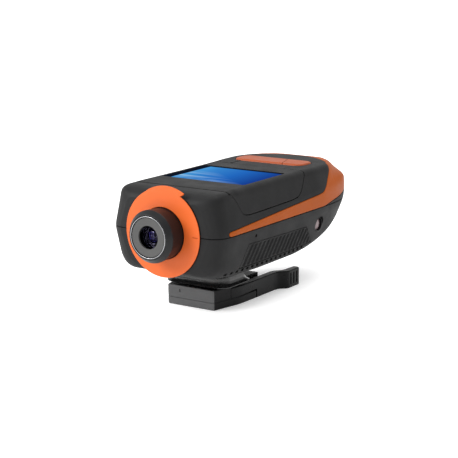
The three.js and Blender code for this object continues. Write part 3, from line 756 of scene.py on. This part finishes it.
def screw_holes():
    """Counterbores for the case screws and the hole for the tripod insert, all from below."""
    screw = [(0, -20), (2.4, -20), (2.4, -12), (0, -12)]
    insert = [(0, -20), (4.3, -20), (4.3, -9), (0, -9)]
    holes = []
    for i in range(1, 5):
        low, high = cad(f"case_screw_{i}")
        middle = (low + high) / 2
        holes.append(turned("hole", screw, 48, "Z", (middle.x, middle.y, 0)))
    holes.append(turned("hole", insert, 64, "Z", (0, PAN, 0)))
    return holes


def disc(radius, y0, y1):
    return turned("disc", [(0, y0), (radius, y0), (radius, y1), (0, y1)], 128)


def shells():
    """Both halves of the housing: one hollow skin with a seat for each piece, split at the parting line."""
    shell = cut(hull(), hull(WALL))
    left, right = LUG_SEAT
    flange_seat = FLANGE + 0.15
    cut(shell, disc(RING_RADIUS + 0.25, -3, flange_seat))
    cut(shell, *(disc(radius, -3, back) for radius, back in RING_SEAT))
    cut(shell, prism("seat", [(left, 8), (right, 8), (right, 20), (left, 20)], -3, flange_seat, "Y"))
    cut(shell, thick_patch("seat", band_grid(BAND_GAP), BAND_DEPTH + 0.1, rise=SEAT_RISE))
    cut(shell, thick_patch("seat", cover_grid(COVER_GAP), COVER_WALL + 0.3, rise=SEAT_RISE))
    cut(shell, prism("seat", keys_plan(KEY_GAP), 5, 20))
    latch_sides = (LATCH_LOW.x - KEY_GAP, LATCH_HIGH.x + KEY_GAP)
    cut(shell, box(latch_sides, (58, KEYS_LOW.y - KEY_GAP), (5, 20)))
    cut(shell, cross_hole(EYE_RADIUS + 0.12, 10, 30, *EYE), cross_hole(0.6, 10, 30, *MIC), vents())
    seat = thick_patch("seat", grip_grid(0.14, 60, 12), GRIP_DEPTH + 0.1, rise=SEAT_RISE)
    cut(shell, mirrored(seat), seat)
    cut(shell, *screw_holes())
    upper = combine(duplicate(shell), box(ALL_X, ALL_Y, (SEAM, 30)), "INTERSECT")
    combine(upper, ledge(), "UNION")
    lower = combine(shell, box(ALL_X, ALL_Y, (-30, -SEAM)), "INTERSECT")
    place(upper, "housing_upper", "camera", SOFT_TOUCH, ["upper_shell"])
    place(lower, "housing_lower", "camera", SOFT_TOUCH, ["lower_shell"])


def ledge():
    """A ledge of the upper shell that closes the gap in front of the display cover from below."""
    profile = [(9.0, 11.4), (14.0, 11.4), (14.0, 12.3), (10.2, 12.3), (10.2, 13.6), (9.0, 13.6)]
    return prism("ledge", profile, -16, 16, "X")


def duplicate(obj):
    copy = obj.copy()
    copy.data = obj.data.copy()
    bpy.context.scene.collection.objects.link(copy)
    return copy


def band():
    place(thick_patch("band", band_grid(), BAND_DEPTH, lip=0.22), "orange_band", "camera", BAND_ORANGE,
          ["side_band"])


def window_plan(margin, radius):
    low, high = WINDOW_LOW, WINDOW_HIGH
    return rounded_rectangle(low.x - margin, high.x + margin, low.y - margin, high.y + margin, radius)


def cover():
    """The lid of the display module, the window in it with the lit picture, and the panel below."""
    lid = thick_patch("lid", cover_grid(), COVER_WALL, lip=0.22)
    cut(lid, prism("opening", window_plan(0.1, 1.0), 8, 20))
    place(lid, "display_lid", "display_module", SOFT_TOUCH, ["display_cover"])
    pane = prism("pane", window_plan(0, 0.9), WINDOW_LOW.z, WINDOW_HIGH.z)
    picture = lit_screen(*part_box("display_window"))
    place(pane, "window_pane", "display_module", picture, ["display_window"])
    screen = box((LCD_LOW.x, LCD_HIGH.x), (LCD_LOW.y, LCD_HIGH.y), (LCD_LOW.z, LCD_HIGH.z), 0.2)
    place(screen, "screen", "display_module", picture, ["lcd_panel"])


def ring_outline(radius):
    """The ring with its lug: a small step up on the left, a sharp notch on the right."""
    lug_turn, turn = np.radians(np.linspace(61, 120, 40)), np.radians(np.linspace(116, 420.7, 150))
    lug = [(LUG[0] + radius * math.cos(a), LUG[1] + radius * math.sin(a)) for a in lug_turn]
    return lug + [(radius * math.cos(a), radius * math.sin(a)) for a in turn]


def ring():
    """The orange ring: a hub, and a flange with an undercut behind its edge and a slot as index mark."""
    levels = [(RING_LOW.y, 0.12), (RING_LOW.y + 0.12, 0.0), (RING_LOW.y + 0.2, 0.0), (FLANGE, 0.5)]
    rings = [[(x, y, z) for x, z in ring_outline(RING_RADIUS - inset)] for y, inset in levels]
    plate = tube_of_rings("plate", rings)
    cut(plate, disc(BORE, -3, 8))
    cut(plate, box((12.7, 15.1), (-1, 0.3), (-0.13, 0.13)))
    hub = turned("hub", [(BORE, 0.5), (13, 0.5), (13, RING_HIGH.y), (BORE, RING_HIGH.y)], 128)
    combine(plate, hub, "UNION")
    place(plate, "lens_surround", "camera", RING_ORANGE, ["front_ring"])


def barrel():
    """The lens tube and what sits in it. Profiles are (radius, along Y)."""
    profile = soften([
        (7.9, -8.2), (9.3, -6.4), (9.0, 0), (9.0, 1.4), (8.3, 1.4), (8.3, 3.2), (9.0, 3.2), (9.0, 4.9),
        (11.8, 4.9), (11.8, 6.4), (10, 6.4), (10, 11.5), (7.4, 11.5), (7.4, -6.4), (7.6, -6.4), (7.6, -8.2),
    ], 0.12)
    place(turned("barrel", profile, 144), "lens_tube", "lens", SATIN_BLACK, ["lens_barrel"])
    rim = soften([(7.15, -6.9), (7.15, -8.3), (7.4, -8.3), (7.4, -6.9)], 0.08)
    place(turned("rim", rim, 144), "bright_trim", "lens", BRIGHT_RIM, ["lens_rim"])
    face = soften([(4.1, -7.3), (4.1, -8.05), (6.85, -8.1), (6.85, -7.3)], 0.08)
    place(turned("face", face, 144), "lens_face", "lens", FACE_GREY, ["lens_face_ring"])
    pane = soften([(0, -7.0, 0), (6.85, -7.0), (6.85, -6.4), (0, -6.4, 0)], 0.1)
    place(turned("pane", pane, 96), "lens_cover_glass", "lens", COVER_GLASS, ["cover_glass"])
    steps = [(7.0, -6.1), (7.0, 8.4), (4.6, 8.4), (4.6, -4.0), (2.5, -4.0), (2.5, -5.0), (3.0, -5.2),
             (3.1, -5.5), (3.7, -5.6), (3.8, -5.9), (4.7, -6.1)]
    place(turned("cell", steps, 96), "lens_holder", "lens", SATIN_BLACK, ["lens_cell"])
    quarter = np.linspace(0, math.pi / 2, 14)
    dome = [(0, -3.4), (2.4, -3.4)] + [(2.4 * math.cos(a), -4.4 - 1.2 * math.sin(a)) for a in quarter]
    place(turned("dome", dome, 96), "front_lens", "lens", LENS_GLASS, ["front_element"])


def keys():
    """Both keys, cut from one rounded bar on either side of a slanted gap."""
    bar = rounded(prism("bar", keys_plan(0), KEYS_LOW.z, KEYS_HIGH.z), 0.8, 5)
    front, back = SPLIT
    before, behind, beyond, half_gap = KEYS_LOW.y - 1, KEYS_HIGH.y + 1, 40, 0.12
    for sign, name, node in ((-1, "record_key", "record_button"), (1, "power_key", "power_button")):
        key = duplicate(bar)
        near, far = front + sign * half_gap, back + sign * half_gap
        outline = [(near, before), (far, behind), (sign * beyond, behind), (sign * beyond, before)]
        combine(key, prism("half", outline, 0, 30), "INTERSECT")
        place(key, name + "_cap", name, KEY_ORANGE, [node])
    bpy.data.objects.remove(bar)


def latch():
    plan = rounded_rectangle(LATCH_LOW.x, LATCH_HIGH.x, LATCH_LOW.y, LATCH_HIGH.y, 0.8)
    tongue = rounded(prism("tongue", plan, LATCH_LOW.z, LATCH_HIGH.z), 0.25)
    place(tongue, "latch_tongue", "latch", SOFT_TOUCH, ["module_latch"])


# ---- grip and vents ----
GRIP_DEPTH = 0.9
RIB_PITCH, RIB_LEAN, RIB_DEPTH = 2.7, 0.55, 0.42
NOTCH_PITCH, NOTCH_DEPTH = 1.15, 0.25
VENTS, VENT_START, VENT_PITCH = 17, 8.2, 3.05


def grip_grid(margin=0.0, columns=300, rows=40):
    """Skin points of the grip patch low on the right flank, bottom row first."""
    (low_y0, low_z), (high_y0, high_z0), (high_y1, high_z1), (low_y1, _) = GRIP
    grid = []
    for v in np.linspace(0, 1, rows):
        row = []
        for u in np.linspace(0, 1, columns):
            top_z = high_z0 + (high_z1 - high_z0) * u + margin
            z = low_z - margin + (top_z - low_z + margin) * v
            start = low_y0 + (high_y0 - low_y0) * v - margin
            end = low_y1 + (high_y1 - low_y1) * v + margin
            y = start + (end - start) * u
            row.append(on_skin((0, y, z), (30, y, z)))
        grid.append(row)
    return np.array(grid)


def rib_height(grid):
    """Grooves that lean towards the stern, with fine notches across the ribs between them."""
    y, z = grid[:, :, 1], grid[:, :, 2]
    phase = (y - RIB_LEAN * z) / RIB_PITCH * 2 * math.pi
    groove = np.clip(0.5 - 0.9 * np.cos(phase), 0, 1)
    notch = NOTCH_DEPTH * np.clip(np.cos(z * 2 * math.pi / NOTCH_PITCH) - 0.55, 0, 1)
    edge = np.clip((edge_distance(grid) - 0.4) / 0.5, 0, 1)
    return -(RIB_DEPTH * (1 - groove) + notch * groove) * edge


def mirrored(obj):
    """A copy of obj on the other side of the camera."""
    copy = duplicate(obj)
    copy.data.transform(Matrix.Diagonal((-1, 1, 1, 1)))
    copy.data.flip_normals()
    return copy


def grips():
    grid = grip_grid()
    right = thick_patch("grip", grid, GRIP_DEPTH, lip=0.2, rise=rib_height(grid))
    left = mirrored(right)
    place(right, "ribbed_grip_right", "camera", GRIP_RUBBER, ["grip_right"], 60)
    place(left, "ribbed_grip_left", "camera", GRIP_RUBBER, ["grip_left"], 60)


def joined(objs):
    """One object with all the meshes in it."""
    points, faces = [], []
    for obj in objs:
        start = len(points)
        points += [tuple(v.co) for v in obj.data.vertices]
        faces += [tuple(start + i for i in f.vertices) for f in obj.data.polygons]
        bpy.data.objects.remove(obj)
    return mesh_object("joined", points, faces)


def vents():
    """Small blind pockets in a row under each grip."""
    pockets = []
    for i in range(VENTS):
        y = VENT_START + VENT_PITCH * i
        level = -13.75 + 0.012 * max(y - 40, 0)
        for sign in (1, -1):
            skin = on_skin((0, y, level), (sign * 30, y, level))[0]
            sides = sorted((skin - sign * 0.8, skin + sign * 1.5))
            pockets.append(box(sides, (y - 0.75, y + 0.75), (level - 0.5, level + 0.5), 0.3))
    return joined(pockets)


def eye():
    """The infrared window on the right flank and its bezel, sunk a little below the skin."""
    y, z = EYE
    skin = flank_x(y, z)
    inner, front, back = EYE_RADIUS - 0.35, skin - 0.35, skin - 2.2
    bezel = soften([(inner, back), (EYE_RADIUS, back), (EYE_RADIUS, front), (inner, front)], 0.1)
    bezel = turned("bezel", bezel, 64, "X", (0, y, z))
    place(bezel, "eye_bezel", "camera", SATIN_BLACK, ["ir_bezel"])
    reach, quarter = EYE_RADIUS - 0.45, np.linspace(0, math.pi / 2, 10)
    dome = [(0, skin - 2.0), (reach, skin - 2.0)]
    dome += [(reach * math.cos(a), skin - 1.5 + 0.7 * math.sin(a)) for a in quarter]
    place(turned("dome", dome, 64, "X", (0, y, z)), "eye_lens", "camera", EYE_LENS, ["ir_window"])


# ---- the mount ----
BLOCK_LOW, BLOCK_HIGH = cad("mount_block")
SLAB_TOP = BLOCK_HIGH.z - FLOOR
NOSE_HALF, SLAB_HALF, SLAB_BACK, CORE_HALF = 10.1, BLOCK_HIGH.x, 39.5, 8.2
STEP = 2.9  # top of the ledge that the release arms lie over
GROOVE = 2.72, STEP  # lower and upper side of the seam line round the nose
ARM_HIGH = cad("release_arm_right")[1]
ARM_ROOT = 24.5
ARM_GAP = 0.15  # between the root of an arm and the block
TAB_GROOVES = 58.6, 60.7, 62.8
SCREW_HOLE = 3.4  # radius of the hole for the tripod screw
PEDESTAL_LOW, PEDESTAL_HIGH = cad("mount_pedestal")


def at_height(*heights):
    return tuple(FLOOR + h for h in heights)


def pan_hole(radius, low, high):
    """A cutter round the tripod screw, between two heights above the floor."""
    low, high = at_height(low, high)
    return turned("hole", [(0, low), (radius, low), (radius, high), (0, high)], 64, "Z", (0, PAN, 0))


def flank(y, margin=0.0):
    """Half width of the buckle at y, nose to tail: the block and the arms share it."""
    along, half = [BLOCK_LOW.y, 22.4, 29.8, SLAB_BACK], [NOSE_HALF, 11.4, 12.85, SLAB_HALF]
    return float(monotone(along, half, y)) + margin


def slab_outline(margin=0.0):
    front = BLOCK_LOW.y
    side = [(flank(y, margin), y) for y in np.linspace(front + 1.2, SLAB_BACK, 14)]
    side[-1] = (side[-1][0], SLAB_BACK + margin)
    nose = NOSE_HALF + margin
    right = corner((0, front - margin), (nose, front - margin), side[0], 0.9, 6) + side
    return [tuple(p) for p in right] + [(-p[0], p[1]) for p in reversed(right)]


def drafted(obj):
    """Draws the foot of the slab's nose in a little, as a moulding is."""
    for v in obj.data.vertices:
        share = 1 - (v.co.z - FLOOR) / SLAB_TOP
        if v.co.y < BLOCK_LOW.y + 4:
            v.co.y += 0.15 * share
        v.co.x *= 1 - 0.004 * share
    return obj


def block():
    slab = prism("slab", slab_outline(), *at_height(0, SLAB_TOP))
    combine(slab, box((-CORE_HALF, CORE_HALF), (30, BLOCK_HIGH.y), at_height(0, SLAB_TOP)), "UNION")
    rounded(slab, 0.38, 4)
    for sign in (1, -1):
        sides = sorted((sign * CORE_HALF, sign * 40))
        cut(slab, box(sides, (ARM_ROOT - ARM_GAP, 60), at_height(STEP, 20)))
    groove = cut(prism("groove", slab_outline(1.0), *at_height(*GROOVE)),
                 prism("core", slab_outline(-0.22), *at_height(2.0, 4.0)))
    cut(slab, groove, pan_hole(6.2, -1, 4.6), pan_hole(SCREW_HOLE, -1, 20))
    cut(slab, box((-4.9, -4.3), (10, BLOCK_LOW.y + 0.3), at_height(5.0, 6.1)))
    place(drafted(slab), "buckle_block", "mount", GLOSS_BLACK, ["mount_block"])
    # Painted light: the faces turned to the front get the lighter grey, as though the light fell on them.
    slab.data.materials.append(NOSE_PAINTED_LIGHT)
    for face in slab.data.polygons:
        if face.normal.y < -0.5:
            face.material_index = 1


def arms():
    """The release arms, with finger grooves in their tabs and a slit below them that widens to the back."""
    tip, tab, inner, outer = ARM_HIGH.y, ARM_HIGH.x, 10.0, 13.0
    root = ARM_ROOT - 1  # cut back to the root once the edges are rounded
    plan = [  # corners as (X, Y, how round)
        (inner, root, 0), (flank(root), root, 0), (flank(27), 27, 0), (flank(30), 30, 0), (outer, 36, 0),
        (outer, 53.0, 2.2), (13.7, 54.8, 1.4), (tab, 56.6, 1.4),
        (tab, tip, 0.9), (13.2, tip, 0.5), (12.8, 57.4, 1.4), (inner, 54.4, 1.8),
    ]
    blade = prism("arm", soften(plan, 1.0, 7), *at_height(0, ARM_HIGH.z - FLOOR))
    rounded(blade, 0.42, 4)
    narrow, wide, slit_end = STEP + 0.05, STEP + 0.6, SLAB_BACK + 0.3
    slit = [(0, -1), (0, narrow), (ARM_ROOT, narrow), (slit_end, wide), (slit_end, -1)]
    cut(blade, prism("slit", [(y, FLOOR + z) for y, z in slit], 0, 40, "X"))
    cut(blade, box((0, 40), (0, ARM_ROOT), (-50, 0)))
    for y in TAB_GROOVES:
        cut(blade, box((tab - 0.55, tab + 2), (y - 0.42, y + 0.42), at_height(1.3, 5.8), 0.18))
    other = mirrored(blade)
    place(blade, "release_tab_right", "arm_right", GLOSS_BLACK, ["release_arm_right"])
    place(other, "release_tab_left", "arm_left", GLOSS_BLACK, ["release_arm_left"])


# Walls of the pedestal: share of its height, and how far they stand out of the waist.
FLARE = [
    (0, 1.0), (0.02, 1.25), (0.07, 1.3), (0.13, 0.8), (0.22, 0.35), (0.34, 0.1), (0.48, 0.0),
    (0.6, 0.08), (0.7, 0.3), (0.79, 0.65), (0.87, 1.15), (0.93, 1.55), (0.97, 1.6), (1, 1.35),
]


def pedestal():
    """A waisted neck: its walls flare out to the block below and to the camera above."""
    low, high = PEDESTAL_LOW, PEDESTAL_HIGH
    rim = max(out for _, out in FLARE)
    half, front, back = high.x - rim, low.y + rim, high.y - rim
    height = high.z - low.z
    rings = []
    for share, out in FLARE:
        plan = rounded_rectangle(-half - out, half + out, front - out, back + out, 4.5, 12)
        rings.append([(x, y, low.z + height * share) for x, y in plan])
    neck = cut(tube_of_rings("neck", rings), pan_hole(SCREW_HOLE, 0, 30))
    place(neck, "swivel_neck", "mount", NECK_GLOSS, ["mount_pedestal"], 50)


def paint(node, material):
    """Gives a CAD node that stays visible a finish of this file."""
    slots = NODES[node].data.materials
    slots.clear()
    slots.append(material)


def carried_over():
    """Finishes of the inner pieces, which keep their CAD shapes."""
    finishes = {
        BOARD: ["main_board", "button_board", "display_board", "sensor_board"],
        STEEL: ["case_screw_1", "case_screw_2", "case_screw_3", "case_screw_4", "card_slot", "usb_port",
                "record_switch", "power_switch", "tripod_screw"],
        BRASS: ["tripod_insert", "contact_pad"],
        SATIN_BLACK: ["bay_tray", "contact_block", "processor", "speaker", "microphone", "module_base",
                      "memory_card", "image_sensor"],
        GRIP_RUBBER: ["barrel_seal", "mount_pad"],
        LENS_GLASS: ["rear_element", "ir_cut_filter"],
        BATTERY_WRAP: ["battery"],
    }
    for material, nodes in finishes.items():
        for node in nodes:
            paint(node, material)


# ---- studio ----
def soft_light(name, at, aim, size, watts):
    data = bpy.data.lights.new(name, "AREA")
    data.shape = "RECTANGLE"
    data.size, data.size_y = size
    data.energy = watts
    obj = bpy.data.objects.new(name, data)
    obj.location = Vector(at)
    obj.rotation_euler = (Vector(aim) - Vector(at)).to_track_quat("-Z", "Y").to_euler()
    bpy.context.scene.collection.objects.link(obj)


def floor():
    material, tree, bsdf = shader("pale_floor", Roughness=0.85, Emission_Color=(1.0, 1.0, 1.0),
                                  Emission_Strength=0.3)
    vary_colour(tree, bsdf, (0.93, 0.93, 0.93), 0.004, 3.0)
    size = 3.0
    corners = [(-size, -size, 0), (size, -size, 0), (size, size, 0), (-size, size, 0)]
    obj = mesh_object("studio_floor", corners, [(0, 1, 2, 3)])
    obj.data.materials.append(material)


def studio():
    floor()
    world = bpy.data.worlds.new("studio")
    world.use_nodes = True
    background = world.node_tree.nodes["Background"]
    background.inputs["Color"].default_value = (1, 1, 1, 1)
    background.inputs["Strength"].default_value = 0.9
    bpy.context.scene.world = world
    soft_light("key_light", (-0.35, -0.45, 0.35), (0, 0, 0.02), (0.35, 0.35), 5.0)
    soft_light("top_light", (0.1, 0.15, 0.7), (0, 0, 0.03), (0.5, 0.5), 3.0)
    view = bpy.context.scene.view_settings
    view.view_transform = "Standard"


VIEW_TURN, VIEW_TILT, VIEW_ROLL = 34.2, 12.4, -0.5
VIEW_LENS = 107.8
VIEW_OFFSET = 23.0, 1.5, 472.4  # from the lens frame's origin: to the right, up and back


def camera():
    turn, tilt, roll = (math.radians(v) for v in (VIEW_TURN, VIEW_TILT, VIEW_ROLL))
    back = Vector((math.sin(turn) * math.cos(tilt), -math.cos(turn) * math.cos(tilt), math.sin(tilt)))
    level = Vector((math.cos(turn), math.sin(turn), 0))
    upright = back.cross(level)
    right = math.cos(roll) * level + math.sin(roll) * upright
    up = -math.sin(roll) * level + math.cos(roll) * upright
    data = bpy.data.cameras.new("view")
    data.lens = VIEW_LENS
    data.sensor_width = 36
    obj = bpy.data.objects.new("view", data)
    obj.matrix_world = Matrix((right, up, back)).transposed().to_4x4()
    aside, above, away = VIEW_OFFSET
    obj.location = ORIGIN + (aside * right + above * up + away * back) * MM
    bpy.context.scene.collection.objects.link(obj)
    bpy.context.scene.camera = obj


shells()
band()
cover()
ring()
barrel()
keys()
latch()
grips()
eye()
block()
arms()
pedestal()
carried_over()
bpy.data.objects.remove(skin_mesh)
studio()
camera()
bpy.context.view_layer.update()
